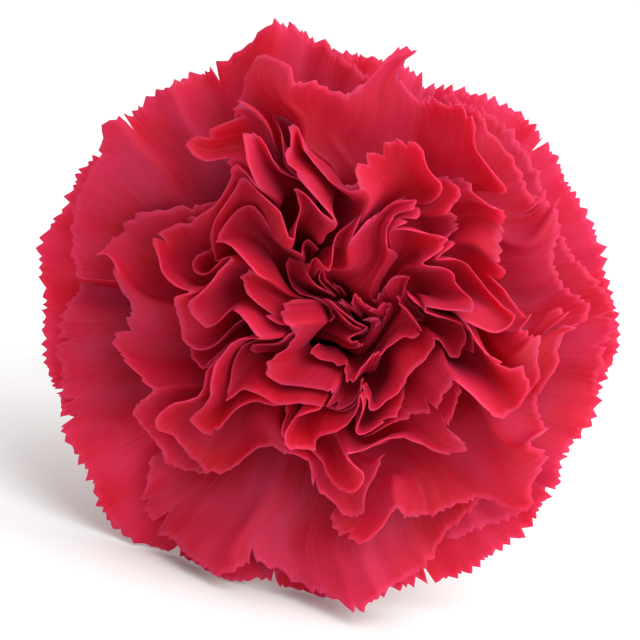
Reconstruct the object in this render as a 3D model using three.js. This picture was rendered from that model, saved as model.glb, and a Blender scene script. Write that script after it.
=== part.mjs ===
// A cut carnation: a double flower head in its calyx, on a short length of stem with one pair of leaves.
//
// The flower is drawn face up in its own frame: Z runs along the stem towards the face, and the mouth of
// the calyx is at the origin. It is then laid down on its side, as a cut flower rests on a table, so that
// two of its lowest petals and the cut end of the stem touch Z = 0.
//
// The petals are numbered from the outermost to the innermost. Each one lies on a level of one family of
// nested bowls, and the folds bend neighbouring levels nearly alike, which keeps the petals apart at these
// sizes. Thicker sheets, deeper folds or more petals use up the room between them.
import * as THREE from "three";

// ------------------------------------------------------------------ driving dimensions, mm and degrees
const PETALS = 33; // petals in the head
const SPIRAL_STEP = 137.508; // each petal stands this far round the head from the one before
const FIRST_PETAL = 20; // direction of the outermost petal
const PETAL_THICKNESS = 0.2;
const CLAW_WIDTH = 2.4; // the narrow foot of each petal, inside the calyx
const CLAW_TO_CALYX = 0.4; // clearance between the outermost claw and the calyx
const CLAW_TO_OVARY = 0.5; // and between the innermost claw and the ovary
const CLAW_DRAWN_IN = 0.87; // share of its radius at which a claw stands on the receptacle
const ROUNDING = 0.17; // share of its length that a blade loses towards its two corners
const CRUMPLE = 1.9; // how far the head is pushed sideways, in waves
const LEAN_X = 4.5; // how far the heart of the flower stands to one side
const LEAN_Y = 3.5;

const CALYX_LENGTH = 30; // from the foot of the calyx to its mouth
const CALYX_RADIUS = 7.7;
const CALYX_WALL = 0.6;
const CALYX_TOOTH = 4.5; // length of each of the five teeth
const BRACTS = 4;
const BRACT_LENGTH = 11;
const BRACT_THICKNESS = 0.4;
const BRACT_STEP = 0.8; // how much further out the second pair stands

const STEM_LENGTH = 62;
const STEM_RADIUS = 2.1;
const STEM_BOW = 3; // how far the stem bends off its straight line
const NODE_BELOW_CALYX = 40; // place of the swollen joint that bears the leaves
const NODE_RADIUS = 3.3;
const LEAF_LENGTH = 42;
const LEAF_WIDTH = 4.6;
const LEAF_THICKNESS = 0.7;

const OVARY_LENGTH = 11;
const OVARY_RADIUS = 1.9;
const STYLE_RADIUS = 0.35;
const STYLE_LENGTH = 15;
const GAP = 0.3; // clearance between pieces that touch

// ------------------------------------------------------------------ places that follow from them
const RECEPTACLE_TOP = -CALYX_LENGTH + 4;
const CLAW_FOOT = RECEPTACLE_TOP + GAP;
const THROAT = 1; // height at which the petals start to lean out
const OUTER_CLAW_RING = CALYX_RADIUS - CALYX_WALL - CLAW_TO_CALYX - PETAL_THICKNESS / 2;
const INNER_CLAW_RING = OVARY_RADIUS + CLAW_TO_OVARY + PETAL_THICKNESS / 2;
const STEM_TOP = -CALYX_LENGTH - GAP;

const rad = THREE.MathUtils.degToRad;
const smooth = (x) => THREE.MathUtils.smoothstep(x, 0, 1);
const lerp = THREE.MathUtils.lerp;

// Value at x of the line that joins the points [x, value].
function along(points, x) {
  const last = points.length - 1;
  let i = 1;
  while (i < last && x > points[i][0]) i += 1;
  const [x0, y0] = points[i - 1];
  const [x1, y1] = points[i];
  return lerp(y0, y1, THREE.MathUtils.clamp((x - x0) / (x1 - x0), 0, 1));
}

// ------------------------------------------------------------------ closed sheets and tubes

// A closed shell around a grid of points: each point of middle[column][row] moves half the thickness along
// the surface's normal, out on one side and back on the other. A wrapped sheet joins its last column to
// its first, as a tube's wall does.
function sheet(middle, thickness, wrapped = false) {
  const columns = middle.length;
  const rows = middle[0].length;
  const column = (i) => (wrapped ? (i + columns) % columns : THREE.MathUtils.clamp(i, 0, columns - 1));
  const row = (j) => THREE.MathUtils.clamp(j, 0, rows - 1);
  const positions = [];
  for (const side of [1, -1]) {
    for (let i = 0; i < columns; i += 1) {
      for (let j = 0; j < rows; j += 1) {
        const across = middle[column(i + 1)][j].clone().sub(middle[column(i - 1)][j]);
        const up = middle[i][row(j + 1)].clone().sub(middle[i][row(j - 1)]);
        const out = across.cross(up).normalize();
        const half = (side * (typeof thickness === "function" ? thickness(i, j) : thickness)) / 2;
        positions.push(...middle[i][j].clone().addScaledVector(out, half).toArray());
      }
    }
  }
  const front = (i, j) => column(i) * rows + j;
  const back = (i, j) => columns * rows + front(i, j);
  const faces = [];
  const quad = (a, b, c, d) => faces.push(a, b, c, a, c, d);
  const spans = wrapped ? columns : columns - 1;
  for (let i = 0; i < spans; i += 1) {
    for (let j = 0; j < rows - 1; j += 1) {
      quad(front(i, j), front(i + 1, j), front(i + 1, j + 1), front(i, j + 1));
      quad(back(i, j), back(i, j + 1), back(i + 1, j + 1), back(i + 1, j));
    }
    quad(front(i, 0), back(i, 0), back(i + 1, 0), front(i + 1, 0));
    quad(front(i, rows - 1), front(i + 1, rows - 1), back(i + 1, rows - 1), back(i, rows - 1));
  }
  if (!wrapped) {
    const end = columns - 1;
    for (let j = 0; j < rows - 1; j += 1) {
      quad(front(0, j), front(0, j + 1), back(0, j + 1), back(0, j));
      quad(front(end, j), back(end, j), back(end, j + 1), front(end, j + 1));
    }
  }
  return solid(positions, faces);
}

function solid(positions, faces) {
  const geometry = new THREE.BufferGeometry();
  geometry.setAttribute("position", new THREE.Float32BufferAttribute(positions, 3));
  geometry.setIndex(faces);
  geometry.computeVertexNormals();
  return geometry;
}

// A solid rod: rings of points around a path, closed by a flat fan at each end.
function rod(path, radius, rings, sides) {
  const positions = [];
  for (let j = 0; j <= rings; j += 1) {
    const { x, y, z } = path(j / rings);
    for (let i = 0; i < sides; i += 1) {
      const a = (2 * Math.PI * i) / sides;
      positions.push(x + radius(j / rings) * Math.cos(a), y + radius(j / rings) * Math.sin(a), z);
    }
  }
  const faces = [];
  for (let j = 0; j < rings; j += 1) {
    for (let i = 0; i < sides; i += 1) {
      const [a, b] = [j * sides + i, j * sides + ((i + 1) % sides)];
      faces.push(a, b, b + sides, a, b + sides, a + sides);
    }
  }
  const top = rings * sides;
  for (let i = 1; i < sides - 1; i += 1) {
    faces.push(0, i + 1, i);
    faces.push(top, top + i, top + i + 1);
  }
  return solid(positions, faces);
}

function turned(points, segments) {
  return new THREE.LatheGeometry(
    points.map(([r, z]) => new THREE.Vector2(r, z)),
    segments,
  ).rotateX(Math.PI / 2);
}

// ------------------------------------------------------------------ petals

// Level of a petal: 0 on the outermost bowl, 1 on the innermost.
const level = (n) => n / (PETALS - 1);

// Direction of a petal's middle, on the nearest line of a star of even directions. The edges and columns of
// every blade lie on that star, so the facets of nested petals lie along each other.
const STAR = 12;
const facing = (n) => Math.round((FIRST_PETAL + SPIRAL_STEP * n) / STAR) * STAR;

// Lean of a blade away from upright, in degrees, where it folds outwards and where it folds inwards. Both
// fall from level to level, and the folds drift only a little between neighbours, so they stay nested.
const CREST = [
  [0, 98],
  [0.12, 94],
  [0.25, 88],
  [0.45, 76],
  [0.65, 62],
  [0.85, 44],
  [0.95, 20],
  [1, -4],
];
const VALLEY = [
  [0, 97],
  [0.12, 90],
  [0.25, 76],
  [0.35, 58],
  [0.45, 40],
  [0.65, 18],
  [0.85, 4],
  [0.95, -3],
  [1, -10],
];

// The outward folds round the head: direction, half the width, and how far they go from valley to crest.
const LOBES = [
  [8, 13, 0.9],
  [32, 13, 0.7],
  [73, 29, 0.6],
  [107, 8, 1],
  [124, 9, 0.5],
  [150, 17, 1],
  [181, 14, 0.75],
  [218, 23, 1],
  [256, 16, 0.7],
  [297, 25, 0.8],
  [334, 13, 1],
];
const LOBE_DRIFT = 20; // how far the folds turn from the outermost level to the innermost
const NARROW_FOLD = 15; // folds narrower than this fade out towards the heart, and the others widen there
const SOFTNESS = 9;
const FOLD_DEPTH = 0.4; // share of the folds' full depth that these plain sheets take
const MEAN_FOLD = 0.5;

function lobes(direction, c) {
  const turned = THREE.MathUtils.radToDeg(direction) + LOBE_DRIFT * (c - 0.6);
  const inner = smooth((c - 0.55) / 0.45);
  let sum = 0;
  for (const [middle, half, lift] of LOBES) {
    const away = THREE.MathUtils.euclideanModulo(turned - middle + 180, 360) - 180;
    const wide = half * (1 + 0.6 * inner);
    const height = half < NARROW_FOLD ? lift * (1 - 0.8 * inner) : lift;
    sum += Math.exp(SOFTNESS * Math.max(height * (1 - (away / wide) ** 2), -0.3));
  }
  return THREE.MathUtils.clamp(Math.log(sum / 2) / SOFTNESS, 0, 1.05);
}

function fullTilt(direction, c) {
  const share = lerp(MEAN_FOLD, lobes(direction, c), FOLD_DEPTH);
  const rim = 2 * Math.cos(6 * direction + 1) * (1 - c);
  return lerp(along(VALLEY, c), along(CREST, c), share) + rim;
}

// Length over which a blade leans from upright to its full tilt.
const UNFURL = [
  [0, 11],
  [1, 24],
];

// Length of a blade above the calyx, from the outer guard petals to the small ones at the heart.
const BLADE = [
  [0, 36.5],
  [0.22, 35.5],
  [0.25, 31.5],
  [0.42, 30],
  [0.45, 27],
  [0.62, 25.5],
  [0.8, 23],
  [0.9, 21.5],
  [1, 20.5],
];

// Blades that stand up higher than their neighbours, on one side of the head: by level, and by direction.
const RAISED = [
  [0.15, 0],
  [0.28, 1],
  [0.5, 1],
  [0.65, 0],
];
const RAISED_SHARE = 0.22;
const RAISED_MIDDLE = 105;
const RAISED_SPREAD = 30;

function bladeLength(n) {
  const away = THREE.MathUtils.euclideanModulo(facing(n) - RAISED_MIDDLE + 180, 360) - 180;
  const share = along(RAISED, level(n)) * Math.exp(-((away / RAISED_SPREAD) ** 2));
  return along(BLADE, level(n)) * (1 + RAISED_SHARE * share);
}

// How far round the head a blade reaches, to each side of its middle.
const REACH_ROUND = [
  [0, 48],
  [0.84, 48],
  [0.88, 60],
  [1, 84],
];
const FAN_START = 3; // distance up from the throat at which the claw starts to widen into the blade
const FAN_END = 19;

// Point of level c, in one direction from the axis, at a distance up the blade from the throat.
const STEPS = 24;
function levelPoint(c, direction, distance) {
  const tilt = fullTilt(direction, c);
  let r = lerp(OUTER_CLAW_RING, INNER_CLAW_RING, c);
  let z = THROAT;
  for (let n = 0; n < STEPS; n += 1) {
    const lean = rad(tilt * smooth((distance * (n + 0.5)) / STEPS / along(UNFURL, c)));
    r += (Math.sin(lean) * distance) / STEPS;
    z += (Math.cos(lean) * distance) / STEPS;
  }
  return { r, z };
}

// The heart of the flower stands to one side of the calyx, and a crumple shifts the head sideways, first
// along X and then along Y, by waves that each depend only on the other two coordinates. Neighbouring
// petals are bent alike, so this brings none of them through another.
function crumple(p) {
  const depth = CRUMPLE * smooth((p.z - 6) / 12);
  const lean = smooth((p.z - 6) / 16);
  const x = p.x + LEAN_X * lean + depth * Math.sin((2 * Math.PI * p.y) / 20 + p.z / 9 + 0.5);
  const y = p.y + LEAN_Y * lean + depth * Math.sin((2 * Math.PI * x) / 22 + p.z / 8 + 1.5);
  return new THREE.Vector3(x, y, p.z);
}

// Rows of every blade lie at the same distances from the throat, up to the last few, which share out what
// is left of its length.
const ROWS = [0, 5, 9, 13];
const TIP_ROWS = 3;

function petal(n) {
  const c = level(n);
  const middle = facing(n);
  const columns = Math.round((2 * along(REACH_ROUND, c)) / STAR);
  const round = (columns * STAR) / 2;
  const ring = lerp(OUTER_CLAW_RING, INNER_CLAW_RING, c);
  const grid = [];
  for (let i = 0; i <= columns; i += 1) {
    const u = (2 * i) / columns - 1;
    const blade = bladeLength(n) * (1 - ROUNDING * Math.abs(u) ** 3);
    const foot = rad(middle) + (u * CLAW_WIDTH) / 2 / ring;
    const base = CLAW_DRAWN_IN * ring;
    const line = [new THREE.Vector3(base * Math.cos(foot), base * Math.sin(foot), CLAW_FOOT)];
    const last = ROWS[ROWS.length - 1];
    for (let j = 0; j < ROWS.length + TIP_ROWS; j += 1) {
      const share = (j + 1 - ROWS.length) / TIP_ROWS;
      const distance = j < ROWS.length ? ROWS[j] : lerp(last, blade, share);
      const open = smooth((distance - FAN_START) / (FAN_END - FAN_START));
      const direction = rad(middle) + u * lerp(CLAW_WIDTH / 2 / ring, rad(round), open);
      const { r, z } = levelPoint(c, direction, distance);
      line.push(crumple(new THREE.Vector3(r * Math.cos(direction), r * Math.sin(direction), z)));
    }
    grid.push(line);
  }
  return sheet(grid, PETAL_THICKNESS);
}

// ------------------------------------------------------------------ calyx and the pieces inside it

// Radius of the middle of the calyx wall, by height. It draws in towards the foot.
const WALL_RADIUS = CALYX_RADIUS - CALYX_WALL / 2;
const FOOT_RADIUS = WALL_RADIUS - 4.4;
const WALL = [
  [-CALYX_LENGTH, FOOT_RADIUS],
  [-CALYX_LENGTH + 1, WALL_RADIUS - 2.5],
  [-CALYX_LENGTH + 3, WALL_RADIUS - 0.7],
  [-CALYX_LENGTH + 8, WALL_RADIUS - 0.2],
  [0, WALL_RADIUS],
];
const TEETH = 5;
const COLUMNS_PER_TOOTH = 4;

function calyx() {
  const heights = [0, 0.035, 0.1, 0.27, 0.6];
  const grid = [];
  for (let i = 0; i < TEETH * COLUMNS_PER_TOOTH; i += 1) {
    const a = (2 * Math.PI * i) / (TEETH * COLUMNS_PER_TOOTH);
    const fromTip = Math.abs(((i / COLUMNS_PER_TOOTH) % 1) - 0.5) * 2;
    const top = 1 - CALYX_TOOTH * fromTip;
    const line = [...heights.map((h) => lerp(-CALYX_LENGTH, -CALYX_TOOTH, h)), -CALYX_TOOTH + 0.6, top];
    grid.push(
      line.map((z) => {
        const r = along(WALL, z);
        return new THREE.Vector3(r * Math.cos(a), r * Math.sin(a), z);
      }),
    );
  }
  for (const line of grid) {
    const end = line.length - 1;
    if (line[end].z < line[end - 1].z + 0.4) line[end].z = line[end - 1].z + 0.4;
  }
  return sheet(grid, CALYX_WALL, true);
}

// A bract: a short pointed scale against the foot of the calyx. The second pair stands over the first.
function bract(n) {
  const outer = n % 2;
  const columns = 6;
  const rows = 6;
  const foot = -CALYX_LENGTH + 4 * GAP;
  const tip = -CALYX_LENGTH + 2 + outer * 0.6 + BRACT_LENGTH;
  const grid = [];
  for (let i = 0; i <= columns; i += 1) {
    const u = (2 * i) / columns - 1;
    const line = [];
    for (let j = 0; j <= rows; j += 1) {
      const v = j / rows;
      const z = lerp(foot, tip, v ** 1.25);
      const width = rad(50) * Math.min(1, 1.25 * (1 - v) + 0.06);
      const a = rad(90 * n + 45) + u * width;
      const r = along(WALL, z) + CALYX_WALL / 2 + 1.5 * GAP + BRACT_THICKNESS / 2 + outer * BRACT_STEP;
      line.push(new THREE.Vector3(r * Math.cos(a), r * Math.sin(a), z));
    }
    grid.push(line);
  }
  return sheet(grid, BRACT_THICKNESS);
}

function receptacle() {
  const foot = -CALYX_LENGTH;
  return turned(
    [
      [0, foot],
      [WALL_RADIUS - 5.2, foot],
      [WALL_RADIUS - 5.1, foot + 1.3],
      [WALL_RADIUS - 2.8, foot + 2.6],
      [WALL_RADIUS - 2, foot + 3.4],
      [WALL_RADIUS - 2.2, RECEPTACLE_TOP],
      [0, RECEPTACLE_TOP],
    ],
    16,
  );
}

function ovary() {
  const path = (t) => new THREE.Vector3(0, 0, RECEPTACLE_TOP + GAP + t * OVARY_LENGTH);
  const swell = [
    [0, 0.55],
    [0.25, 0.95],
    [0.5, 1],
    [0.8, 0.7],
    [1, 0.4],
  ];
  return rod(path, (t) => OVARY_RADIUS * along(swell, t), 6, 10);
}

function style(side) {
  const foot = RECEPTACLE_TOP + 2 * GAP + OVARY_LENGTH;
  const path = (t) => new THREE.Vector3(side * (0.45 + 0.7 * t * t), 0, foot + t * STYLE_LENGTH);
  return rod(path, () => STYLE_RADIUS, 4, 6);
}

// ------------------------------------------------------------------ stem and leaves

const NODE_HEIGHT = -CALYX_LENGTH - NODE_BELOW_CALYX;
const FOOT_OVER_STEM = 0.1; // how far the foot of the calyx wall stands out over the head of the stem
const stemPath = (t) => {
  const z = lerp(STEM_TOP - STEM_LENGTH, STEM_TOP, t);
  return new THREE.Vector3(0, STEM_BOW * (1 - t) * t, z);
};

function stem() {
  const swelling = (t) => {
    const away = lerp(STEM_TOP - STEM_LENGTH, STEM_TOP, t) - NODE_HEIGHT;
    const node = (NODE_RADIUS - STEM_RADIUS) * Math.exp(-((away / 3) ** 2));
    const top = (FOOT_RADIUS - FOOT_OVER_STEM - STEM_RADIUS) * smooth((t - 0.94) / 0.06);
    return STEM_RADIUS + node + top;
  };
  return rod(stemPath, swelling, 18, 12);
}

// A leaf: a long narrow blade, channelled along its middle, that starts at the node and bends outwards.
function leaf(side) {
  const columns = 4;
  const rows = 8;
  const grid = [];
  const nodeY = STEM_BOW * (1 - 0.35) * 0.35;
  for (let i = 0; i <= columns; i += 1) {
    const u = (2 * i) / columns - 1;
    const line = [];
    for (let j = 0; j <= rows; j += 1) {
      const v = j / rows;
      const lean = rad(18 + 34 * v);
      const out = NODE_RADIUS + 0.9 + LEAF_LENGTH * v * Math.sin(lean);
      const up = NODE_HEIGHT + LEAF_LENGTH * v * Math.cos(lean);
      const half = (LEAF_WIDTH / 2) * (0.75 + 0.5 * Math.sin(Math.PI * v ** 0.8)) * (1 - 0.8 * v ** 4);
      const lift = 0.9 * u * u * (1 - 0.5 * v);
      line.push(
        new THREE.Vector3(side * (out - lift * Math.cos(lean)), nodeY + side * u * half, up + lift * 0.6),
      );
    }
    grid.push(line);
  }
  return sheet(grid, LEAF_THICKNESS);
}

// ------------------------------------------------------------------ the whole flower

const PETAL_RED = 0xb4243c;
const CALYX_GREEN = 0x7f9a63;
const STEM_GREEN = 0x8aa27c;
const OVARY_GREEN = 0xb7c58a;
const STYLE_WHITE = 0xeee6dc;

const flower = new THREE.Group();
function add(name, geometry, color) {
  const material = new THREE.MeshStandardMaterial({ color, roughness: 0.6 });
  const mesh = new THREE.Mesh(geometry, material);
  mesh.name = name;
  flower.add(mesh);
  return mesh;
}

const petals = [];
for (let n = 0; n < PETALS; n += 1) {
  petals.push(add(`petal_${String(n + 1).padStart(2, "0")}`, petal(n), PETAL_RED));
}
add("calyx", calyx(), CALYX_GREEN);
for (let n = 0; n < BRACTS; n += 1) add(`bract_${n + 1}`, bract(n), CALYX_GREEN);
add("receptacle", receptacle(), CALYX_GREEN);
add("ovary", ovary(), OVARY_GREEN);
add("style_1", style(1), STYLE_WHITE);
add("style_2", style(-1), STYLE_WHITE);
const stalk = add("stem", stem(), STEM_GREEN);
add("leaf_1", leaf(1), STEM_GREEN);
add("leaf_2", leaf(-1), STEM_GREEN);

// ------------------------------------------------------------------ laid down on its side

function pointsOf(meshes) {
  const found = [];
  flower.updateMatrixWorld(true);
  for (const mesh of meshes) {
    const at = mesh.geometry.getAttribute("position");
    for (let i = 0; i < at.count; i += 1) {
      found.push(new THREE.Vector3().fromBufferAttribute(at, i).applyMatrix4(mesh.matrixWorld));
    }
  }
  return found;
}
const lowest = (points) => points.reduce((best, p) => (p.z < best.z ? p : best));

// Laid down, the face looks along -Y and a little up. Turning the flower until the plane of its three
// supports is level (a petal on the left, a petal on the right, the end of the stem) sets it on Z = 0.
flower.rotation.x = rad(70);
for (let n = 0; n < 12; n += 1) {
  const head = pointsOf(petals);
  const left = lowest(head.filter((p) => p.x < -5));
  const right = lowest(head.filter((p) => p.x > 5));
  const end = lowest(pointsOf([stalk]));
  const up = right.clone().sub(left).cross(end.clone().sub(left)).normalize();
  flower.quaternion.premultiply(new THREE.Quaternion().setFromUnitVectors(up, new THREE.Vector3(0, 0, 1)));
}

const group = new THREE.Group();
group.name = "cut_carnation";
flower.updateMatrixWorld(true);
for (const mesh of [...flower.children]) {
  mesh.geometry.applyMatrix4(mesh.matrixWorld);
  group.add(mesh);
}
const box = new THREE.Box3().setFromObject(group);
const middle = box.getCenter(new THREE.Vector3());
for (const mesh of group.children) mesh.geometry.translate(-middle.x, -middle.y, -box.min.z);

export default group;
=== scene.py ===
# %% [markdown]
# # A cut carnation, lying on its side
#
# A carnation is a full double flower: some thirty to forty thin petals packed into a green tube, the
# calyx, on a jointed stem. This lesson builds it in Blender around a CAD model that fixes every size and
# place. Each petal is a surface worked out with numpy, given a real thickness and a toothed margin.

import bpy
import numpy as np
from mathutils import Matrix, Vector


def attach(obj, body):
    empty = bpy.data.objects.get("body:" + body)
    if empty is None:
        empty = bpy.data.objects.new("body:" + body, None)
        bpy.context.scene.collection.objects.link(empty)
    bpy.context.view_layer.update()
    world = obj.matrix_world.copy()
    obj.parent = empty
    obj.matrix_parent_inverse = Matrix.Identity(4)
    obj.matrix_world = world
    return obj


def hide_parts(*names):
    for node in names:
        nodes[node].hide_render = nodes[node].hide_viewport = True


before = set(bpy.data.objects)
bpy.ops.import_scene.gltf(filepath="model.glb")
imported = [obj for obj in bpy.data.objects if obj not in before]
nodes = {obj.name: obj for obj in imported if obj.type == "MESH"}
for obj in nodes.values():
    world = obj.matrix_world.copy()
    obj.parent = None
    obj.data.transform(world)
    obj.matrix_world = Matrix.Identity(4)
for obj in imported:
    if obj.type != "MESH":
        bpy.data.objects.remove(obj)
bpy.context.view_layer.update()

print("CAD nodes:", len(nodes))

# %% [markdown]
# ## Where the flower lies
#
# The flower is easiest to think about face up, with its axis along Z and the mouth of the calyx at the
# origin. The CAD model has it lying on its side. The ovary stands on the axis and the two styles stand
# to the left and right of it, so those three pieces say how the flower was turned and moved. Reading the
# turn from them, instead of repeating its numbers, keeps every new piece in place if the CAD changes.

# %% Read the flower's own frame from the pieces on its axis
MM = 0.001
OVARY_FOOT = -25.7  # height of the foot of the ovary in the flower's own frame, mm


def corners(node):
    """All corner points of a CAD node, as an array of rows (x, y, z) in mm."""
    mesh = nodes[node].data
    points = np.empty(len(mesh.vertices) * 3)
    mesh.vertices.foreach_get("co", points)
    return points.reshape(-1, 3) / MM


def unit(v):
    """The vector v at length 1."""
    return v / np.linalg.norm(v)


ovary_middle = corners("ovary").mean(0)
styles = [corners("style_1").mean(0), corners("style_2").mean(0)]
axis_z = unit((styles[0] + styles[1]) / 2 - ovary_middle)
axis_x = styles[0] - styles[1]
axis_x = unit(axis_x - axis_x.dot(axis_z) * axis_z)
axis_y = np.cross(axis_z, axis_x)
TURN = np.stack([axis_x, axis_y, axis_z])
foot_along_axis = ((corners("ovary") - ovary_middle) @ axis_z).min()
ORIGIN = ovary_middle + (foot_along_axis - OVARY_FOOT) * axis_z
print("the face looks along", axis_z.round(3), "and the calyx mouth is at", ORIGIN.round(2), "mm")


def laid_down(points):
    """Points of the flower's own frame, in mm, as they lie on the table, in metres."""
    return (points @ TURN + ORIGIN) * MM


# %% [markdown]
# ## Helpers
#
# Colours are picked as sRGB hex values, as a colour chart gives them, and Blender's shaders want linear
# light, so one function converts them. Another adds a shader node with its settings and links.

# %% Colours and shader nodes


def colour(hex_value):
    """sRGB hex as linear RGBA: below 0.04045 divide by 12.92, above it ((c + 0.055) / 1.055) ** 2.4."""
    parts = [int(hex_value[i : i + 2], 16) / 255 for i in (1, 3, 5)]
    linear = [p / 12.92 if p <= 0.04045 else ((p + 0.055) / 1.055) ** 2.4 for p in parts]
    return (*linear, 1.0)


def add_node(material, kind, settings=None, **inputs):
    """Adds a shader node. Settings are its properties; inputs are values, or sockets to link from."""
    tree = material.node_tree
    node = tree.nodes.new(kind)
    for name, value in (settings or {}).items():
        setattr(node, name, value)
    for name, value in inputs.items():
        key = int(name[1:]) if name[0] == "i" and name[1:].isdigit() else name.replace("_", " ")
        if isinstance(value, bpy.types.NodeSocket):
            tree.links.new(value, node.inputs[key])
        else:
            node.inputs[key].default_value = value
    return node


def new_material(name):
    """A node material with only its output and one Principled shader, which is returned with it."""
    material = bpy.data.materials.new(name)
    material.use_nodes = True
    return material, material.node_tree.nodes["Principled BSDF"]


def ramp(material, factor, *stops):
    """A colour ramp through (position, hex colour) stops."""
    node = add_node(material, "ShaderNodeValToRGB", Fac=factor)
    elements = node.color_ramp.elements
    while len(elements) < len(stops):
        elements.new(0.5)
    for element, (position, hex_value) in zip(elements, stops):
        element.position = position
        element.color = colour(hex_value)
    return node.outputs["Color"]


# %% [markdown]
# ## A thin sheet with two sides
#
# Petals, sepals and leaves are thin but not paper cut-outs: their two sides meet in a rim. A grid of
# points gives the middle surface. Moving it half the thickness along its normals, to either side, and
# joining the two copies around the rim gives a closed shell. Solidify would do this too, but here the
# thickness can fade towards the margin, and each side keeps its own attributes for the material.

# %% Closed shells from grids


def normals_of(middle, wrapped=False):
    """Unit normals of a grid (columns, rows, 3): the cross product of its two central differences."""
    across = np.gradient(middle, axis=0)
    if wrapped:
        across = (np.roll(middle, -1, axis=0) - np.roll(middle, 1, axis=0)) / 2
    up = np.gradient(middle, axis=1)
    normal = np.cross(across, up)
    return normal / np.maximum(np.linalg.norm(normal, axis=-1, keepdims=True), 1e-9)


def shell(middle, thickness, wrapped=False):
    """Both sides of a grid, as points (2 * columns * rows, 3), and the quads that close them."""
    columns, rows = middle.shape[:2]
    offset = normals_of(middle, wrapped) * (np.broadcast_to(thickness, (columns, rows))[..., None] / 2)
    points = np.concatenate([(middle + offset).reshape(-1, 3), (middle - offset).reshape(-1, 3)])
    front = np.arange(columns * rows).reshape(columns, rows)
    if wrapped:
        front = np.concatenate([front, front[:1]])
    back = front + columns * rows

    def quads(a, b, c, d):
        return np.stack([a, b, c, d], axis=-1).reshape(-1, 4)

    faces = [
        quads(front[:-1, :-1], front[1:, :-1], front[1:, 1:], front[:-1, 1:]),
        quads(back[:-1, :-1], back[:-1, 1:], back[1:, 1:], back[1:, :-1]),
        quads(front[:-1, 0], back[:-1, 0], back[1:, 0], front[1:, 0]),
        quads(front[:-1, -1], front[1:, -1], back[1:, -1], back[:-1, -1]),
    ]
    if not wrapped:
        faces.append(quads(front[0, :-1], front[0, 1:], back[0, 1:], back[0, :-1]))
        faces.append(quads(front[-1, :-1], back[-1, :-1], back[-1, 1:], front[-1, 1:]))
    return points, np.concatenate(faces)


def doubled(marks):
    """The marks of a shell's middle grid, once for each side."""
    return {key: np.concatenate([values.ravel(), values.ravel()]) for key, values in marks.items()}


def add_piece(name, points, faces, material, replaced, attributes=None):
    """A mesh object from points in the flower's own frame, that stands for CAD nodes of the same part."""
    mesh = bpy.data.meshes.new(name)
    mesh.vertices.add(len(points))
    mesh.vertices.foreach_set("co", laid_down(points).ravel())
    mesh.loops.add(faces.size)
    mesh.loops.foreach_set("vertex_index", faces.ravel())
    mesh.polygons.add(len(faces))
    mesh.polygons.foreach_set("loop_start", np.arange(0, faces.size, faces.shape[1]))
    mesh.update(calc_edges=True)
    mesh.validate()
    mesh.shade_smooth()
    for key, values in (attributes or {}).items():
        layer = mesh.attributes.new(key, "FLOAT", "POINT")
        layer.data.foreach_set("value", np.ascontiguousarray(values, dtype=np.float32).ravel())
    mesh.materials.append(material)
    piece = bpy.data.objects.new(name, mesh)
    bpy.context.scene.collection.objects.link(piece)
    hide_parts(replaced)
    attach(piece, "root")
    return piece


def rested(grid, bend=1.3):
    """Points of the flower's frame, with whatever would sink into the table bent up along it: below the
    height bend, in mm, the height h becomes bend * exp(h / bend - 1), which never quite reaches 0."""
    world = grid @ TURN + ORIGIN
    height = world[..., 2]
    world[..., 2] = np.where(height < bend, bend * np.exp(np.minimum(height / bend, 1) - 1), height)
    return (world - ORIGIN) @ TURN.T


def smooth(x):
    """A step that eases in and out: x * x * (3 - 2 x) for x between 0 and 1."""
    x = np.clip(x, 0, 1)
    return x * x * (3 - 2 * x)


# %% [markdown]
# ## Petals: one family of nested bowls
#
# Dozens of ruffled sheets are hard to place one by one without cutting through each other. Here each petal
# lies on a level c of one family of nested bowls: the outermost, at level 0, is nearly flat, and the
# innermost, at level 1, stands upright. Folds lean every level in and out together, so where an outer
# petal folds, the petals inside it nest into the same fold. The petals follow the golden angle round the
# head. Ruffles near the margin, and the curl of the innermost petals, belong to each petal alone, so a few
# neighbours still run into each other there, mostly in the heart.

# %% Sizes of the head, in mm and degrees
PETALS = 33
SPIRAL_STEP = 137.508  # the golden angle
FIRST_PETAL = 20
STAR = 12  # directions are rounded to steps of this many degrees, so that neighbours nest
OUTER_CLAW_RING = 6.6
INNER_CLAW_RING = 2.5
CLAW_DRAWN_IN = 0.87  # radius of the ring of claws at its foot, as a share of that at the mouth
CLAW_FOOT = OVARY_FOOT
THROAT = 1.0  # height at which the claws turn into blades
FAN_START = 3.0  # a blade starts to fan out this far above its claw,
FAN_END = 19.0  # and has its full width here
RADIAN = np.pi / 180


def by_level(c, *pairs):
    """Value at level c of the line through the (level, value) pairs."""
    levels, values = zip(*pairs)
    return np.interp(c, levels, values)


def unfurl(c):
    """Distance up a blade over which it bends from upright to its full lean."""
    return by_level(c, (0, 11), (1, 24))


def blade_length(c):
    """Length of a blade: two rings of long guard petals, then ever shorter ones."""
    guards = ((0, 36.5), (0.22, 35.5), (0.25, 31.5), (0.42, 30))
    inner = ((0.45, 27), (0.62, 25.5), (0.8, 23), (0.9, 21.5), (1, 20.5))
    return by_level(c, *guards, *inner)


def reach_round(c):
    """How far a blade reaches round the head to either side of its middle, in degrees."""
    return by_level(c, (0, 48), (0.3, 48), (0.36, 52), (0.8, 50), (0.88, 68), (1, 84))


def claw_width(c):
    return by_level(c, (0, 5), (0.25, 4.4), (0.5, 3), (1, 2.2))


def claw_ring(c):
    """Radius of the ring on which the claws of level c stand in the mouth of the calyx."""
    return OUTER_CLAW_RING + (INNER_CLAW_RING - OUTER_CLAW_RING) * c


# %% The raised group
# Some petals at the top of the head have grown longer than the rest and stand up together.
RAISED_SHARE = 0.22
RAISED_MIDDLE = 105
RAISED_SPREAD = 30


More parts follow.
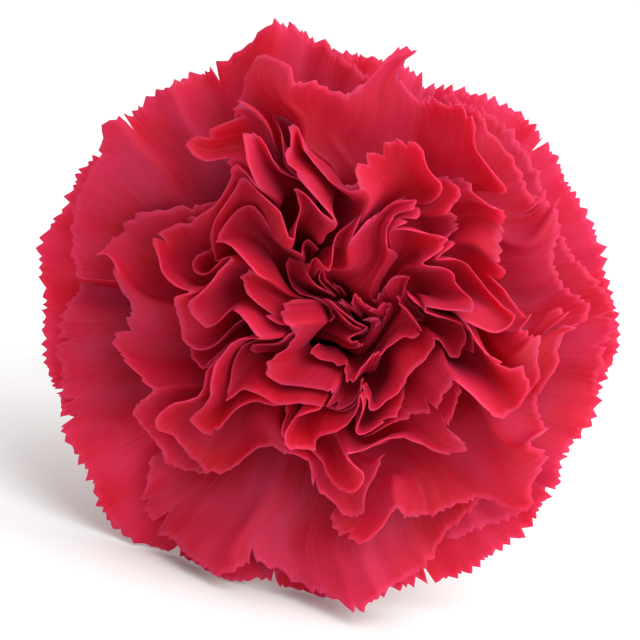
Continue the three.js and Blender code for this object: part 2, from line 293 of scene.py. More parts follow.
def raised_group(c, middle):
    """How far a petal belongs to the raised group, from 0 to 1: a bell round one direction."""
    away = (middle / RADIAN - RAISED_MIDDLE + 180) % 360 - 180
    share = by_level(c, (0.15, 0), (0.28, 1), (0.5, 1), (0.65, 0))
    return share * np.exp(-((away / RAISED_SPREAD) ** 2))


# %% The folds
# Lobes round the head where the petals fold outwards: direction and half the width, in degrees, and how
# far they go, as a share.
LOBES = np.array(
    [
        (8, 13, 0.9),
        (32, 13, 0.7),
        (73, 29, 0.6),
        (107, 8, 1.0),
        (124, 9, 0.5),
        (150, 17, 1.0),
        (181, 14, 0.75),
        (218, 23, 1.0),
        (256, 16, 0.7),
        (297, 25, 0.8),
        (334, 13, 1.0),
    ]
)
DRIFT = 20.0  # the lobes turn by this many degrees from level 0 to level 1
SOFTNESS = 9.0  # how sharply a valley is pinched between two arcs
NARROW_LOBE = 15  # lobes narrower than this fade away in the heart, where they would crowd


def lobes(direction, c):
    """Share of the way from valley to crest. Each lobe is an arc, lift * (1 - (angle / half width) ** 2),
    and the highest arc counts in each direction, softly, so crests are round and valleys are pinched."""
    turned = direction / RADIAN + DRIFT * (c - 0.6)
    away = (turned[..., None] - LOBES[:, 0] + 180) % 360 - 180
    inner = smooth((c - 0.55) / 0.45)
    narrow = LOBES[:, 1] < NARROW_LOBE
    half = LOBES[:, 1] * (1 + 0.6 * inner)
    lift = LOBES[:, 2] * np.where(narrow, 1 - 0.8 * inner, 1)
    arcs = lift * (1 - (away / half) ** 2)
    crest = np.log(np.exp(SOFTNESS * np.maximum(arcs, -0.3)).sum(-1) / 2) / SOFTNESS
    return np.clip(crest, 0, 1.05)


# Lean from upright of the crests and of the valleys, in degrees, at rising levels.
CREST_LEAN = ((0, 98), (0.12, 94), (0.25, 88), (0.45, 76), (0.65, 62), (0.85, 44), (0.95, 20), (1, -4))
VALLEY_LEAN = (
    (0, 97), (0.12, 90), (0.25, 76), (0.35, 58), (0.45, 40), (0.65, 18), (0.85, 4), (0.95, -3), (1, -10)
)
GUARD_NOD = 2.0  # the guard petals rise and fall by this many degrees, six times round the head


def full_tilt(direction, c):
    """Lean of a level away from upright, in degrees: between that of the valleys and that of the crests.
    Both fall from level to level, and the lobes turn only a little between neighbours, so they nest."""
    crest = by_level(c, *CREST_LEAN)
    valley = by_level(c, *VALLEY_LEAN)
    nod = GUARD_NOD * np.cos(6 * direction + 1) * (1 - c)
    return valley + (crest - valley) * lobes(direction, c) + nod


STEPS = 24  # steps of the sums along a meridian


def level_points(c, direction, distance):
    """Radius and height at a distance up the blade: sums of sin and cos of the lean along the way."""
    steps = (np.arange(STEPS) + 0.5) / STEPS
    lean = full_tilt(direction, c)[..., None] * smooth(distance[..., None] * steps / unfurl(c))
    lean = lean * RADIAN
    radius = claw_ring(c) + np.sin(lean).mean(-1) * distance
    height = THROAT + np.cos(lean).mean(-1) * distance
    return radius, height


# %% The crumple
LEAN = (4.5, 3.5)  # how far the top of the head leans over, mm
CRUMPLE = 2.6
FINE_CRUMPLE = 0.8


def crumple(x, y, z):
    """Pushes the head sideways, along X and then along Y, by waves of the other two coordinates.

    Each push moves points along one axis by an amount that doesn't depend on it, so it brings no sheet
    through another. Two long waves, about 20 mm, then two short ones, about 10 mm.
    """
    lean = smooth((z - 6) / 16)
    depth = CRUMPLE * smooth((z - 6) / 12)
    x = x + LEAN[0] * lean + depth * np.sin(2 * np.pi * y / 20 + z / 9 + 0.5)
    y = y + LEAN[1] * lean + depth * np.sin(2 * np.pi * x / 22 + z / 8 + 1.5)
    fine = FINE_CRUMPLE * smooth((z - 8) / 10)
    x = x + fine * np.sin(2 * np.pi * y / 9 + z / 4 + 2.0)
    y = y + fine * np.sin(2 * np.pi * x / 10 + z / 5 + 4.0)
    return np.stack([x, y, z], axis=-1)


# %% Teeth of the margin
TOOTH_PITCH = 1.2
SLIT_SHARE = 0.08  # share of the valleys between teeth that go deep, as small tears do


def toothed_margin(rng, arc, depth):
    """Places across a blade, from -1 to 1, and how far the margin stands out there, in mm.

    Tooth widths are drawn at random around the pitch and scaled to fill the arc. Each tooth has its
    valley, its tip and a jagged point on either side. Its height is drawn at random too, and rises and
    falls in clumps of four teeth. A few valleys are slits.
    """
    count = int(arc / TOOTH_PITCH)
    widths = rng.uniform(0.35, 1.65, count)
    valleys = np.concatenate([[0], np.cumsum(widths)]) / widths.sum()
    tips = valleys[:-1] + np.diff(valleys) * rng.uniform(0.25, 0.85, count)
    clump_places = np.arange(0, count + 5, 4)
    clumps = np.interp(np.arange(count + 1), clump_places, rng.uniform(-1, 1, len(clump_places)))
    sunk = depth * (0.8 * clumps - rng.uniform(0.0, 0.5, count + 1))
    slits = rng.random(count + 1) < SLIT_SHARE
    sunk = sunk - slits * rng.uniform(0.8, 2.6, count + 1)
    heights = depth * (0.8 * clumps[:-1] + rng.uniform(0.25, 1.25, count) * widths)
    jag = depth * rng.uniform(-0.22, 0.22, (2, count))
    across = np.empty(4 * count + 1)
    out = np.empty(4 * count + 1)
    across[0::4], out[0::4] = valleys, sunk
    across[1::4], out[1::4] = (valleys[:-1] + tips) / 2, (sunk[:-1] + heights) / 2 + jag[0]
    across[2::4], out[2::4] = tips, heights
    across[3::4], out[3::4] = (valleys[1:] + tips) / 2, (sunk[1:] + heights) / 2 + jag[1]
    return 2 * across - 1, out


# %% Sizes of one petal that change with its level


def length_spread(c):
    """How much longer or shorter than its level's length a blade may be, as a share."""
    return by_level(c, (0, 0.02), (0.2, 0.03), (0.3, 0.07), (0.6, 0.15), (1, 0.2))


def margin_radius(c):
    """Distance of the margin from the axis, which sets how many teeth fit along it, mm."""
    return by_level(c, (0, 38), (0.3, 30), (0.6, 20), (1, 8))


def tooth_depth(c):
    return by_level(c, (0, 0.6), (0.25, 0.5), (0.4, 0.3), (1, 0.2))


def rounded_sides(c):
    """How far the margin draws back at the two sides of a blade, as a share of its length."""
    return by_level(c, (0, 0.13), (0.3, 0.18))


# %% One petal
ROWS = 34
HOOK_DOWN = 1.2  # the innermost petals curl over the heart: down this far at the margin,
HOOK_IN = 2.6  # and this far towards the axis
CLOSEST = 0.15  # radius inside which no petal goes


def rim_line(u, length, c, group, phase):
    """Distance from claw to margin across a blade, without its teeth: round sides and slow waves."""
    bumps = 0.4 + 1.3 * group
    waves = 0.8 * np.sin(6 * u + phase[0]) + bumps * np.sin(13 * u + phase[1])
    return length * (1 - rounded_sides(c) * np.abs(u) ** 3.5) + waves


def petal_grid(number):
    """Middle surface of a petal and what its material needs: (columns, rows, 3) and a dict.

    Columns fan out from the claw, each along its own meridian of the petal's level, and rows go up them.
    Ruffles and crimps near the margin move guard petals up and down and inner petals in and out.
    """
    c = number / (PETALS - 1)
    rng = np.random.default_rng(number + 100)
    middle = round((FIRST_PETAL + SPIRAL_STEP * number) / STAR) * STAR * RADIAN
    round_half = reach_round(c) * RADIAN
    group = raised_group(c, middle)
    raised = 1 + RAISED_SHARE * group
    length = raised * blade_length(c) * (1 + length_spread(c) * rng.uniform(-1, 1))
    outer = margin_radius(c)
    u, teeth = toothed_margin(rng, max(2 * round_half * outer, 14), tooth_depth(c))
    phase = rng.uniform(0, 2 * np.pi, 4)
    rim = rim_line(u, length, c, group, phase)
    v = np.linspace(0, 1, ROWS) ** 0.85
    blade = v[None, :] * rim[:, None] + teeth[:, None] * v[None, :] ** 10
    fanned = smooth((blade - FAN_START) / (FAN_END - FAN_START))
    claw = claw_width(c) / 2 / claw_ring(c)
    direction = middle + u[:, None] * (claw + (round_half - claw) * fanned)
    radius, height = level_points(c, direction, blade)
    share = blade / rim[:, None]
    loose = smooth((share - 0.35) / 0.65)
    ruffle = loose * (0.7 * np.sin(9 * u + phase[2]) + 0.45 * np.sin(17 * u + phase[3]))[:, None]
    crimp = loose**3 * 0.22 * np.sin(46 * u + 3 * phase[0])[:, None]
    hook = by_level(c, (0.87, 0), (0.94, 1)) * smooth((share - 0.5) / 0.5)
    height = height + (ruffle + crimp) * (1 - c) - HOOK_DOWN * hook
    radius = np.maximum(radius + (ruffle * 0.8 + crimp) * c - HOOK_IN * hook, CLOSEST)
    blade_points = crumple(radius * np.cos(direction), radius * np.sin(direction), height)
    grid = rested(np.concatenate([*claw_rows(c, middle + u * claw, blade_points), blade_points], axis=1))
    along = np.concatenate([np.zeros((len(u), 3)), blade], axis=1)
    to_margin = (rim + teeth)[:, None] - blade
    marks = {
        "along": along,
        "across": np.broadcast_to((u * round_half * outer)[:, None], along.shape),
        "rim": np.concatenate([np.full((len(u), 3), length), to_margin], axis=1),
    }
    return grid, marks


def claw_rows(c, direction, blade_points):
    """Three rows of a claw, on straight lines from its foot inside the calyx to the foot of the blade."""
    base = CLAW_DRAWN_IN * claw_ring(c)
    foot = np.stack(
        [base * np.cos(direction), base * np.sin(direction), np.full_like(direction, CLAW_FOOT)], axis=-1
    )
    return [foot[:, None] * (1 - t) + blade_points[:, :1] * t for t in (0, 0.35, 0.7)]


def petal_thickness(marks):
    """About 0.28 mm in the blade, thinning to 0.1 mm over the last 2 mm before the margin."""
    return 0.10 + 0.18 * smooth(marks["rim"] / 2.0)


# %% [markdown]
# ## Petal finish: living petal tissue
#
# A fresh petal is matt and velvety because its skin is a carpet of tiny cone-shaped cells, so it is rough
# with a weak pink sheen, and light that enters it spreads as red. Fine veins fan out from the claw, and
# the colour is painted a darker crimson away from the margin, most on the inner petals: partly the petal's
# own deeper red towards its base, partly painted shade of the folds in the head. The innermost petals are
# painted a little lighter, as painted light that lifts the shade of the heart. The very edge of each tooth
# shows as a paler line where the tissue is thinnest. The guard petals are clouded with pink, and the claw,
# hidden in the calyx, is pale. The patterns follow the petal, so they read attributes stored on
# the mesh: mm along and across the blade and to the margin, the level, and a random shade for each petal.

# %% Patterns of a petal
# For each noise pattern: cycles to the mm across the petal and along it, and a shift from petal to petal,
# then its detail and its roughness. Veins are drawn about 0.4 mm apart, and so is their bump. Clouds are
# about 6 mm across. Streaks are about 0.2 mm apart and give the silky grain between the veins.
PETAL_PATTERNS = {
    "veins": ((2.4, 0.08, 40.0), 4.0, 0.6),
    "clouds": ((0.16, 0.09, 17.0), 3.0, 0.5),
    "streaks": ((6.0, 0.12, 90.0), 2.0, 0.5),
}

# How strong each layer of colour is: what it follows, from which value to which, and its share there.
PETAL_STRENGTHS = {
    # The first row paints the petal darker crimson away from the margin: partly its own deeper red towards
    # the base, partly painted shade of the folds in the head.
    "deep_red_and_painted_shade": ("rim", 1.0, 12.0, 0.0, 0.9),
    # The next row scales that painted shade by level: about a third of it on the guard petals, all of it
    # from level 0.35 inwards.
    "crowded": ("level", 0.0, 0.35, 0.35, 1.0),
    "streaks": ("streaks", 0.5, 0.75, 0.0, 0.45),
    "veins": ("veins", 0.38, 0.64, 0.0, 0.3),
    "clouds": ("clouds", 0.35, 0.7, 0.0, 0.4),
    "outward": ("level", 0.1, 0.6, 1.0, 0.35),
    "edge": ("rim", 0.0, 1.1, 0.32, 0.0),
    "claw": ("along", 1.0, 9.0, 0.75, 0.0),
}

# The layers, from the first laid on to the last, with how each is blended and its colour.
PETAL_LAYERS = (
    # First the darker crimson away from the margin, partly the petal's own colour and partly painted
    # shade.
    ("deep_red_and_painted_shade", "MIX", "#A0030E"),
    ("streaks", "MIX", "#C22A50"),
    ("veins", "MULTIPLY", "#E0607A"),
    ("clouds", "MIX", "#D63E74"),
    ("edge", "MIX", "#D84476"),
    ("claw", "MIX", "#D9B3A4"),
)

# Skin of the petal: matt, with a weak sheen, and red light spreading about 2 mm inside it.
PETAL_SKIN = {
    "Roughness": 0.62,
    "Specular IOR Level": 0.15,
    "Sheen Weight": 0.12,
    "Sheen Roughness": 0.45,
    "Sheen Tint": colour("#FF6FA8"),
    "Subsurface Weight": 0.7,
    "Subsurface Radius": (1.0, 0.12, 0.16),
    "Subsurface Scale": 0.002,
}


def petal_patterns(material):
    """Sockets the colour is built from, by name: the attributes on the mesh and the noise patterns."""
    marks = {}
    for name in ("along", "across", "rim", "level", "shade"):
        marks[name] = add_node(material, "ShaderNodeAttribute", {"attribute_name": name}).outputs["Fac"]
    place = add_node(
        material, "ShaderNodeCombineXYZ", X=marks["across"], Y=marks["along"], Z=marks["shade"]
    ).outputs["Vector"]
    for name, (cycles, detail, roughness) in PETAL_PATTERNS.items():
        stretched = add_node(
            material, "ShaderNodeMapping", {"vector_type": "POINT"}, Vector=place, Scale=cycles
        ).outputs["Vector"]
        marks[name] = add_node(
            material, "ShaderNodeTexNoise", Vector=stretched, Scale=1.0, Detail=detail, Roughness=roughness
        ).outputs["Fac"]
    return marks


# %% Petal material


def petal_material():
    """The skin's colour for its level, lighter as painted light on the innermost levels, with each layer
    laid over it at its strength.
    """
    material, shader = new_material("carnation_petal_velvet")
    marks = petal_patterns(material)
    strength = {}
    for name, (follows, start, end, first, last) in PETAL_STRENGTHS.items():
        strength[name] = add_node(
            material, "ShaderNodeMapRange", Value=marks[follows], From_Min=start, From_Max=end,
            To_Min=first, To_Max=last,
        ).outputs["Result"]
    # The painted shade away from the margin is scaled by level, and so are the pink clouds.
    for name, by in (("deep_red_and_painted_shade", "crowded"), ("clouds", "outward")):
        strength[name] = add_node(
            material, "ShaderNodeMath", {"operation": "MULTIPLY"}, i0=strength[name], i1=strength[by]
        ).outputs["Value"]
    # The last stop, for the innermost petals, is a little lighter: painted light that lifts the shade of
    # the heart.
    skin = ramp(
        material, marks["level"], (0.0, "#B60F34"), (0.3, "#B00B24"), (0.6, "#B20B20"), (1.0, "#C4142C")
    )
    for name, blend, tint in PETAL_LAYERS:
        skin = add_node(
            material, "ShaderNodeMix", {"data_type": "RGBA", "blend_type": blend}, i0=strength[name],
            i6=skin, i7=colour(tint),
        ).outputs[2]
    bump = add_node(material, "ShaderNodeBump", Height=marks["veins"], Strength=0.35, Distance=0.00012)
    material.node_tree.links.new(skin, shader.inputs["Base Color"])
    material.node_tree.links.new(bump.outputs["Normal"], shader.inputs["Normal"])
    for name, value in PETAL_SKIN.items():
        shader.inputs[name].default_value = value
    print("petal layers:", ", ".join(name for name, blend, tint in PETAL_LAYERS))
    return material


PETAL = petal_material()

# %% Build the petals
triangles = 0
for number in range(PETALS):
    grid, marks = petal_grid(number)
    points, faces = shell(grid, petal_thickness(marks))
    attributes = doubled(marks)
    attributes["level"] = np.full(len(points), number / (PETALS - 1))
    attributes["shade"] = np.full(len(points), np.random.default_rng(number).random())
    node = f"petal_{number + 1:02d}"
    add_piece(f"ruffled_{node}", points, faces, PETAL, node, attributes)
    triangles += 2 * len(faces)
print("petals:", PETALS, "with", triangles, "triangles")

# %% [markdown]
# ## Calyx: five sepals joined into a tube
#
# The calyx is a leathery green tube with five teeth. It is drawn as one wrapped grid whose top edge goes
# up and down round the mouth. Each sepal has a faint keel in line with its tooth and fine veins, and the
# tube is ridged a little by the claws that press against it from inside, so its radius varies round it.

# %% Shape of the calyx
CALYX_LENGTH = 30.0
CALYX_WALL = 0.6
WALL_RADIUS = 7.4
TOOTH_LENGTH = 4.5
TEETH = 5
# How far the wall draws in at its foot: height above the foot, and the inset there.
FOOT_CURVE = ((0, 4.4), (0.4, 3.6), (1, 2.5), (1.8, 1.5), (3, 0.75), (5, 0.4), (8, 0.2), (CALYX_LENGTH, 0))


def wall_radius(z):
    """Radius of the middle of the wall, which draws in over its lowest 8 mm to meet the stem."""
    up, inset = zip(*FOOT_CURVE)
    return WALL_RADIUS - np.interp(z + CALYX_LENGTH, up, inset)


def calyx_grid(columns=240, rows=70):
    """Columns round the tube, rows up it. A tooth's edge falls away from its tip as 1 - |x| ** 1.3.

    The wall has a keel in line with each tooth, a seam between the sepals, ridges where 25 claws press
    from inside, and tips that lean in over the petals.
    """
    a = np.linspace(0, 2 * np.pi, columns, endpoint=False)
    from_tip = np.abs((a * TEETH / (2 * np.pi)) % 1 - 0.5) * 2
    top = 1 - TOOTH_LENGTH * from_tip**1.3
    v = np.linspace(0, 1, rows) ** 0.9
    z = -CALYX_LENGTH + v[None, :] * (top + CALYX_LENGTH)[:, None]
    rise = smooth((z + CALYX_LENGTH) / 6)
    keel = 0.16 * np.exp(-((from_tip / 0.16) ** 2))[:, None] * rise
    seam = -0.1 * np.exp(-(((1 - from_tip) / 0.1) ** 2))[:, None] * rise
    pressed = 0.07 * np.cos(25 * a)[:, None] * smooth((z + 22) / 14)
    lean_in = 0.25 * smooth((z + 4) / 5) * (1 - from_tip)[:, None]
    radius = wall_radius(z) + keel + seam + pressed - lean_in
    grid = np.stack([radius * np.cos(a)[:, None], radius * np.sin(a)[:, None], z], axis=-1)
    marks = {
        "along": z + CALYX_LENGTH,
        "across": np.broadcast_to((a * WALL_RADIUS)[:, None], z.shape),
        "rim": np.broadcast_to(top[:, None], z.shape) - z,
    }
    return grid, marks


# %% [markdown]
# ## Green finishes: waxy sepals, stem and leaves
#
# Carnation greens are glaucous: a thin white wax lies over the skin and turns it grey-green and matt.
# Rubbing takes the wax off; here the wax lies unevenly, in flecks, and where it is thin the skin shows a
# deeper green. Fine veins run along every piece.

# %% Green material


def green_material(name, deep, light, bloom, vein_pitch, tip=None, pith=None):
    """Waxy green tissue, from deep in its veins to light between them.

    Veins repeat every vein_pitch mm across a piece and run along it. bloom is the colour of the wax,
    which lies in flecks of about 2 mm; tip is that of a dry papery edge, and pith that of a cut face.
    """
    material, shader = new_material(name)
    along = add_node(material, "ShaderNodeAttribute", {"attribute_name": "along"}).outputs["Fac"]
    across = add_node(material, "ShaderNodeAttribute", {"attribute_name": "across"}).outputs["Fac"]
    rim = add_node(material, "ShaderNodeAttribute", {"attribute_name": "rim"}).outputs["Fac"]
    place = add_node(material, "ShaderNodeCombineXYZ", X=across, Y=along).outputs["Vector"]
    vein_place = add_node(
        material, "ShaderNodeMapping", Vector=place, Scale=(1 / vein_pitch, 0.04 / vein_pitch, 1.0)
    ).outputs["Vector"]
    veins = add_node(
        material, "ShaderNodeTexNoise", Vector=vein_place, Scale=1.0, Detail=3.0, Roughness=0.55
    ).outputs["Fac"]
    flecks = add_node(
        material, "ShaderNodeTexNoise", Vector=place, Scale=0.45, Detail=5.0, Roughness=0.6
    ).outputs["Fac"]
    skin = ramp(material, veins, (0.35, deep), (0.65, light))
    wax = add_node(
        material, "ShaderNodeMapRange", Value=flecks, From_Min=0.3, From_Max=0.7, To_Min=0.15, To_Max=0.7
    ).outputs["Result"]
    waxed = add_node(
        material, "ShaderNodeMix", {"data_type": "RGBA"}, i0=wax, i6=skin, i7=colour(bloom)
    ).outputs[2]
    if tip:
        edge = add_node(
            material, "ShaderNodeMapRange", Value=rim, From_Min=0.0, From_Max=2.2, To_Min=0.8, To_Max=0.0
        ).outputs["Result"]
        waxed = add_node(
            material, "ShaderNodeMix", {"data_type": "RGBA"}, i0=edge, i6=waxed, i7=colour(tip)
        ).outputs[2]
    if pith:
        cut = add_node(material, "ShaderNodeAttribute", {"attribute_name": "cut"}).outputs["Fac"]
        waxed = add_node(
            material, "ShaderNodeMix", {"data_type": "RGBA"}, i0=cut, i6=waxed, i7=colour(pith)
        ).outputs[2]
    tree = material.node_tree
    tree.links.new(waxed, shader.inputs["Base Color"])
    rough = add_node(
        material, "ShaderNodeMapRange", Value=flecks, From_Min=0.3, From_Max=0.7, To_Min=0.42, To_Max=0.62
    ).outputs["Result"]
    tree.links.new(rough, shader.inputs["Roughness"])
    shader.inputs["Specular IOR Level"].default_value = 0.4
    bump = add_node(material, "ShaderNodeBump", Height=veins, Strength=0.5, Distance=0.0002)
    tree.links.new(bump.outputs["Normal"], shader.inputs["Normal"])
    return material


CALYX_SKIN = green_material("glaucous_sepal_skin", "#43622A", "#6A8A48", "#86A077", 0.7, tip="#B9B07A")
BRACT_SKIN = green_material("glaucous_bract_skin", "#48612C", "#718A4A", "#8CA075", 0.6, tip="#C2AE7C")
STEM_SKIN = green_material("glaucous_stem_skin", "#456633", "#67884E", "#88A077", 0.8, pith="#CBD6A2")
LEAF_SKIN = green_material("glaucous_leaf_skin", "#3E6140", "#618260", "#849D82", 0.55)
print("green finishes:", CALYX_SKIN.name, BRACT_SKIN.name, STEM_SKIN.name, LEAF_SKIN.name)

# %% Build the calyx
grid, marks = calyx_grid()
wall = CALYX_WALL * (0.35 + 0.65 * smooth(marks["rim"] / 3))
points, faces = shell(grid, wall, wrapped=True)
add_piece("sepal_tube", points, faces, CALYX_SKIN, "calyx", doubled(marks))
print("calyx:", TEETH, "teeth,", CALYX_LENGTH, "mm long")

# %% [markdown]
# ## Bracts
#
# Two pairs of short broad scales hug the foot of the calyx, the second pair outside the first. Each ends
# in a sharp point with a thin papery edge.

# %% Build the bracts
BRACTS = 4
BRACT_LENGTH = 11.0
BRACT_GAP = 0.65  # between the wall and the inner pair
BRACT_STEP = 0.8  # how much further out the outer pair lies
BRACT_HALF_ANGLE = 50 * RADIAN
BRACT_RADIUS = 8  # about that of the tube with its bracts, which turns angles into mm


def bract_grid(number, columns=60, rows=50):
    """A scale wrapped round the tube, with a keel up its middle and a point that stands off a little.

    Its half width is (1 - v ** 2.6) * (1 - 0.35 v) of the full one, v being the share of its length.
    """
    outer = number % 2
    u = np.linspace(-1, 1, columns)
    v = np.linspace(0, 1, rows)
    foot = -CALYX_LENGTH + 0.05
    tip = -CALYX_LENGTH + 2 + outer * 0.6 + BRACT_LENGTH
    z = foot + (tip - foot) * v**1.25
    width = BRACT_HALF_ANGLE * np.minimum(1, (1 - v**2.6) + 0.015) * (1 - 0.35 * v)
    a = (90 * number + 45) * RADIAN + u[:, None] * width[None, :]
    keel = 0.14 * np.exp(-((u / 0.12) ** 2))[:, None] * (0.3 + 0.7 * v[None, :])
    lift = 0.35 * smooth((v - 0.75) / 0.25)[None, :]
    radius = wall_radius(z)[None, :] + CALYX_WALL / 2 + BRACT_GAP + outer * BRACT_STEP + keel + lift
    grid = np.stack(
        [radius * np.cos(a), radius * np.sin(a), np.broadcast_to(z, a.shape)], axis=-1
    )
    to_side = (1 - np.abs(u))[:, None] * width[None, :] * BRACT_RADIUS
    marks = {
        "along": np.broadcast_to(v * BRACT_LENGTH, a.shape),
        "across": u[:, None] * width[None, :] * BRACT_RADIUS,
        "rim": np.minimum(to_side * 1.6, ((1 - v) * BRACT_LENGTH)[None, :] * 0.5),
    }
    return grid, marks


for number in range(BRACTS):
    grid, marks = bract_grid(number)
    thickness = 0.12 + 0.28 * smooth(marks["rim"] / 1.5)
    points, faces = shell(grid, thickness)
    node = f"bract_{number + 1}"
    add_piece(f"calyx_scale_{number + 1}", points, faces, BRACT_SKIN, node, doubled(marks))
print("bracts:", BRACTS)

# %% [markdown]
# ## Stem
#
# The stem is a smooth waxy cane with one swollen node, where the leaves grow. It is a stack of rings up
# a gently bowed path, closed at the top inside the calyx foot and at the bottom by the cut, whose face
# dips a little and shows the pale pith.

# %% Shape of the stem
STEM_LENGTH = 62.0
STEM_RADIUS = 2.1
STEM_BOW = 3.0
STEM_TOP = -30.3
NODE_HEIGHT = -70.0
NODE_RADIUS = 3.3
STEM_SIDES = 72
CUT_RINGS = ((0.2, 0.2), (0.55, 0.16), (0.86, 0.12))  # share of the radius, and the dip of the cut there
TOP_RINGS = (0.6, 0.2)


def stem_profile(z):
    """Radius up the stem: a swelling at the node, with a crease above it, and a wider top."""
    t = (z - (STEM_TOP - STEM_LENGTH)) / STEM_LENGTH
    swelling = (NODE_RADIUS - STEM_RADIUS) * np.exp(-(((z - NODE_HEIGHT) / 2.6) ** 2))
    crease = -0.35 * np.exp(-(((z - NODE_HEIGHT - 3.4) / 0.7) ** 2))
    return STEM_RADIUS + swelling + crease + 0.8 * smooth((t - 0.94) / 0.06)


def stem_rings(rows=220):
    """Rings (rings, sides, 3) from the middle of the cut, up the stem, to the middle of its top.

    The path bows by STEM_BOW * t * (1 - t), t being the share of the length, and each ring's radius
    has nine faint ribs, 0.98 + 0.01 cos 9a.
    """
    z = np.linspace(STEM_TOP - STEM_LENGTH, STEM_TOP, rows)
    t = (z - z[0]) / STEM_LENGTH
    path = np.stack([0 * z, STEM_BOW * (1 - t) * t, z], axis=-1)
    a = np.linspace(0, 2 * np.pi, STEM_SIDES, endpoint=False)
    ribbed = stem_profile(z)[:, None] * (0.98 + 0.01 * np.cos(9 * a))
    out = ribbed[..., None] * np.stack([np.cos(a), np.sin(a), 0 * a], axis=-1)
    cut = [path[0] + out[0] * share + np.array([0, 0, dip]) for share, dip in CUT_RINGS]
    top = [path[-1] + out[-1] * share for share in TOP_RINGS]
    return np.stack([*cut, *(path[:, None] + out), *top]), a


def ring_faces(rings, sides):
    """Quads between neighbouring rings, and strips of quads across the first and the last ring."""
    index = np.arange(rings * sides).reshape(rings, sides)
    following = np.roll(index, -1, axis=1)
    walls = np.stack([index[:-1], following[:-1], following[1:], index[1:]], axis=-1).reshape(-1, 4)
    step = np.arange(1, sides // 2)
    first, last = index[0], index[-1]
    below = np.stack([first[step - 1], first[-step], first[-step - 1], first[step]], axis=-1)
    above = np.stack([last[step - 1], last[step], last[-step - 1], last[-step]], axis=-1)
    return np.concatenate([walls, below, above])


# %% Build the stem
stack, a = stem_rings()
rings, sides = stack.shape[:2]
heights = stack[..., 2]
stem_marks = {
    "along": heights - (STEM_TOP - STEM_LENGTH),
    "across": np.broadcast_to(a * STEM_RADIUS, heights.shape),
    "rim": np.full(heights.shape, 9.0),
    "cut": np.concatenate([np.ones((len(CUT_RINGS), sides)), np.zeros((rings - len(CUT_RINGS), sides))]),
}
faces = ring_faces(rings, sides)
add_piece("waxy_stem", stack.reshape(-1, 3), faces, STEM_SKIN, "stem", stem_marks)
print("stem:", rings, "rings of", sides, "points")

# %% [markdown]
# ## Leaves
#
# A carnation leaf is a long narrow channel with a pointed tip. Its base clasps the node. The blade is a
# grid along a curve that leans further out towards its tip, folded a little along the midrib.

# %% Build the leaves
LEAF_LENGTH = 42.0
LEAF_WIDTH = 4.6
NODE_SHARE = 0.35  # about how far up the stem the node is, which says how far the stem is bowed there
CLASP_END = 0.16  # share of the leaf's length over which its base lets go of the node
CLASP_TURN = 74 * RADIAN  # how far the base reaches round the node to either side


def leaf_grid(side, columns=36, rows=150):
    """Points out from the node: the lean grows along the blade, and the cross-section is a shallow V.

    Over the clasp, points are mixed with those of an arc round the node.
    """
    u = np.linspace(-1, 1, columns)[:, None]
    v = np.linspace(0, 1, rows)[None, :]
    lean = (18 + 34 * v) * RADIAN
    out = NODE_RADIUS + 0.9 + LEAF_LENGTH * v * np.sin(lean)
    up = NODE_HEIGHT + LEAF_LENGTH * v * np.cos(lean)
    half = LEAF_WIDTH / 2 * (0.75 + 0.5 * np.sin(np.pi * v**0.8)) * (1 - 0.93 * v**3.2)
    lift = 0.9 * np.abs(u) ** 1.5 * (1 - 0.5 * v)
    wave = 0.18 * np.sin(14 * v + 2 * u + side) * u * smooth(v * 3)
    x = out - (lift + wave) * np.cos(lean)
    y = u * half
    clasp = 1 - smooth(v / CLASP_END)
    turn = CLASP_TURN * u
    hug = NODE_RADIUS + 0.45 + 0.5 * smooth(v / 0.05)
    x = side * (x + (hug * np.cos(turn) - x) * clasp)
    bow = STEM_BOW * (1 - NODE_SHARE) * NODE_SHARE
    y = bow + side * (y + (hug * np.sin(turn) - y) * clasp)
    grid = np.stack([x, y, up + lift * 0.6 * (1 - clasp)], axis=-1)
    marks = {
        "along": np.broadcast_to(v * LEAF_LENGTH, x.shape),
        "across": np.broadcast_to(u * half, x.shape),
        "rim": np.broadcast_to((1 - np.abs(u)) * half, x.shape),
    }
    return grid, marks


for number, side in enumerate((1, -1)):
    grid, marks = leaf_grid(side)
    midrib = np.exp(-((marks["across"] / 0.35) ** 2))
    thickness = 0.25 + 0.35 * smooth(marks["rim"] / 0.8) + 0.25 * midrib
    points, faces = shell(grid, thickness)
    node = f"leaf_{number + 1}"
    add_piece(f"narrow_{node}", points, faces, LEAF_SKIN, node, doubled(marks))
print("leaves:", 2, "of", LEAF_LENGTH, "mm")

# %% [markdown]
# ## The hidden heart
#
# The receptacle, the ovary and its two styles are sealed inside the calyx. Their CAD shapes are right as
# they are, so they keep their meshes and only get a finish: pale young tissue, with a soft mottling
# that reads Object coordinates, because these pieces have no attributes of their own.

# %% Finish of the CAD pieces that stay


def tissue_material(name, pale, deep, grain):
    """Young plant tissue, moist and smooth, mottled every grain mm between two near colours."""
    material, shader = new_material(name)
    place = add_node(material, "ShaderNodeTexCoord").outputs["Object"]
    mottle = add_node(
        material, "ShaderNodeTexNoise", Vector=place, Scale=1 / (grain * MM), Detail=4.0, Roughness=0.6
    ).outputs["Fac"]
    mottled = ramp(material, mottle, (0.35, deep), (0.65, pale))
    bump = add_node(material, "ShaderNodeBump", Height=mottle, Strength=0.3, Distance=0.0001)
    shader.inputs["Roughness"].default_value = 0.5
    material.node_tree.links.new(mottled, shader.inputs["Base Color"])
    material.node_tree.links.new(bump.outputs["Normal"], shader.inputs["Normal"])
    return material


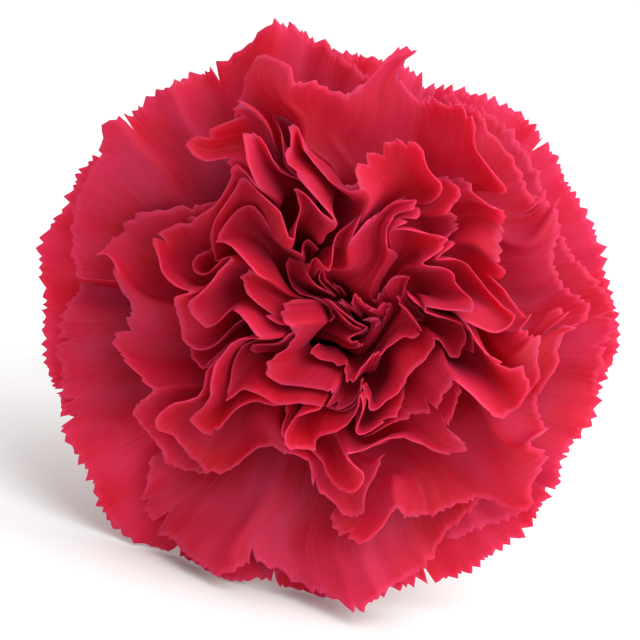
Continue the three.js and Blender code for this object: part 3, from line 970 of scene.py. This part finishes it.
INNER = {
    "receptacle": tissue_material("pale_receptacle_tissue", "#A9B978", "#8C9F5C", 1.2),
    "ovary": tissue_material("pale_ovary_tissue", "#C3D08F", "#A8B974", 0.9),
    "style_1": tissue_material("white_style_tissue", "#F3EDE4", "#E2D6CC", 0.5),
}
INNER["style_2"] = INNER["style_1"]
for node, material in INNER.items():
    nodes[node].data.materials.clear()
    nodes[node].data.materials.append(material)
print("CAD pieces that keep their shape:", ", ".join(INNER))

# %% [markdown]
# ## Stage, light and camera
#
# The flower lies on a sheet of plain pale paper. White walls all round give most of the light, and one
# large soft box, up and to the right of the face, gives the folds their shadows. The camera looks
# straight into the face along the flower's own axis.

# %% Floor
FLOOR_HALF = 3.0
floor_mesh = bpy.data.meshes.new("floor")
floor_corners = [(-1, -1), (1, -1), (1, 1), (-1, 1)]
floor_mesh.from_pydata([(x * FLOOR_HALF, y * FLOOR_HALF, 0) for x, y in floor_corners], [], [(0, 1, 2, 3)])
floor = bpy.data.objects.new("floor", floor_mesh)
bpy.context.scene.collection.objects.link(floor)
FLOOR, shader = new_material("pale_paper_backdrop")
shader.inputs["Base Color"].default_value = colour("#F4F4F4")
shader.inputs["Roughness"].default_value = 0.9
floor_mesh.materials.append(FLOOR)

# %% Light
world = bpy.data.worlds.new("studio")
bpy.context.scene.world = world
world.use_nodes = True
background = world.node_tree.nodes["Background"]
background.inputs["Color"].default_value = (1, 1, 1, 1)
background.inputs["Strength"].default_value = 0.64


def flower_place(x, y, z):
    """A point of the flower's own frame, in mm, as a place in the world, in metres."""
    return Vector(laid_down(np.array([[x, y, z]], float))[0])


def flower_matrix(x, y, z):
    """The flower's own axes, placed at a point of its frame, as a 4 x 4 matrix."""
    turned = Matrix([axis_x.tolist(), axis_y.tolist(), axis_z.tolist()]).transposed().to_4x4()
    return Matrix.Translation(flower_place(x, y, z)) @ turned


def aim(lamp, place, target):
    """Puts a lamp at one point of the flower's frame and turns it to another."""
    lamp.location = flower_place(*place)
    lamp.rotation_euler = (flower_place(*target) - lamp.location).to_track_quat("-Z", "Y").to_euler()


softbox = bpy.data.lights.new("softbox", "AREA")
softbox.size = 0.9  # metres
softbox.energy = 6.3  # watts
softbox_lamp = bpy.data.objects.new("softbox", softbox)
bpy.context.scene.collection.objects.link(softbox_lamp)
aim(softbox_lamp, (400, 250, 290), (0, 0, 10))  # from half a metre away to the heart of the head

# %% Camera
# A long lens almost on the flower's axis, half a metre in front of the face.
camera = bpy.data.cameras.new("camera")
camera.lens = 200
camera.clip_end = 20
camera_object = bpy.data.objects.new("camera", camera)
camera_object.matrix_world = flower_matrix(-0.5, 1.6, 488)
bpy.context.scene.collection.objects.link(camera_object)
bpy.context.scene.camera = camera_object
bpy.context.scene.view_settings.view_transform = "Standard"
